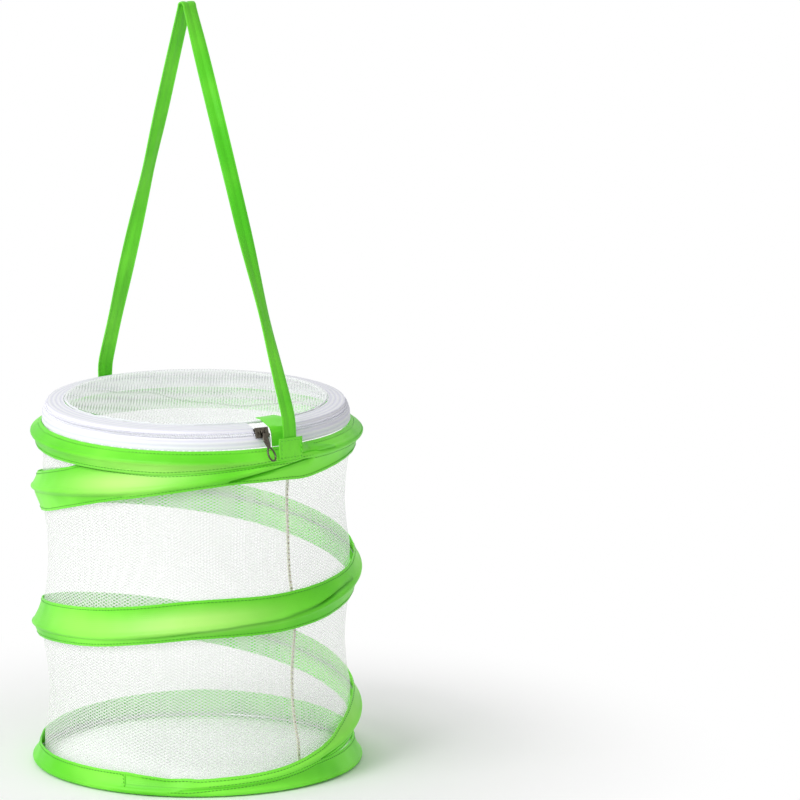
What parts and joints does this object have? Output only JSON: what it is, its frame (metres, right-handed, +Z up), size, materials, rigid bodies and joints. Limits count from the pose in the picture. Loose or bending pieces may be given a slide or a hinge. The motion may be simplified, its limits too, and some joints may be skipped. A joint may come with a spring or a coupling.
{
  "type": "insect cage",
  "caption": "Pop-up round insect cage: a coiled spring wire in green casings holds up a netting wall, under a zip-off netting lid and a flat carrying strap.",
  "frame": {"origin": "centre of the cage's underside, on the ground", "axes": "+Z up the cage's axis, +X towards the strap's front foot and the lid's hinge"},
  "size_m": [0.3061, 0.3, 0.698],
  "materials": {
    "lime_fabric": "woven polyester with a soft sheen",
    "white_fabric": "plain woven polyester",
    "white_netting": "fine polyester netting",
    "zip_tape": "woven zip tape",
    "zip_nylon": "moulded nylon coil",
    "cream_tape": "folded cotton tape",
    "spring_steel": "bare spring steel wire",
    "dark_metal": "dark lacquered metal"
  },
  "bodies": {
    "base": {"floor_panel": "white_fabric", "bottom_ring_wire": "spring_steel", "bottom_wire_sleeve": "spring_steel", "bottom_band": "lime_fabric", "helix_wire": "spring_steel", "helix_band": "lime_fabric", "wall_net": "white_netting", "wall_seam_tape": "cream_tape"},
    "top_frame": {"top_ring_wire": "spring_steel", "top_wire_sleeve": "spring_steel", "top_band": "lime_fabric", "frame_zip_tape": "zip_tape", "frame_zip_coil": "zip_nylon", "zip_stop_start": "dark_metal", "zip_stop_end": "dark_metal", "frame_hinge_tab": "lime_fabric", "strap_patch_front": "lime_fabric", "strap_patch_back": "lime_fabric"},
    "lid_near": {"lid_net_near": "white_netting", "lid_rim_binding_near": "white_fabric", "lid_zip_tape_near_left": "zip_tape", "lid_zip_tape_near_right": "zip_tape", "lid_zip_coil_near_left": "zip_nylon", "lid_zip_coil_near_right": "zip_nylon", "lid_hinge_tab": "lime_fabric"},
    "lid_far": {"lid_net_far": "white_netting", "lid_rim_binding_far": "white_fabric", "lid_zip_tape_far": "zip_tape", "lid_zip_coil_far": "zip_nylon"},
    "slider": {"zip_slider": "dark_metal"},
    "pull_tab": {"zip_pull_tab": "dark_metal"},
    "strap": {"carry_strap": "lime_fabric"}
  },
  "joints": [
    {"name": "collapse", "type": "slide", "parent": "base", "child": "top_frame", "axis": [0, 0, -1], "range_m": [0, 0.255], "stiffness_N_per_m": 28, "springref_m": -0.15, "deforming": ["helix_wire", "helix_band", "wall_net", "wall_seam_tape"]},
    {"name": "lid_open", "type": "hinge", "parent": "top_frame", "child": "lid_near", "pos_m": [0.1364, 0, 0.328], "axis": [0, 1, 0], "range_deg": [0, 16]},
    {"name": "lid_fold", "type": "hinge", "parent": "lid_near", "child": "lid_far", "pos_m": [-0.02576, 0, 0.3362], "axis": [0, 1, 0], "range_deg": [0, 128]},
    {"name": "zip_slide", "type": "hinge", "parent": "top_frame", "child": "slider", "pos_m": [0, 0, 0.328], "axis": [0, 0, 1], "range_deg": [-160, 0]},
    {"name": "pull_swing", "type": "hinge", "parent": "slider", "child": "pull_tab", "pos_m": [0.13921, -0.02255, 0.33015], "axis": [-0.1599, -0.9871, 0], "range_deg": [0, 105]},
    {"name": "strap_swing", "type": "hinge", "parent": "top_frame", "child": "strap", "pos_m": [0, 0, 0.3226], "axis": [1, 0, 0], "range_deg": [-60, 30]}
  ],
  "couplings": [
    {"joint": "lid_open", "follows": "lid_fold", "ratio": 0.125}
  ]
}
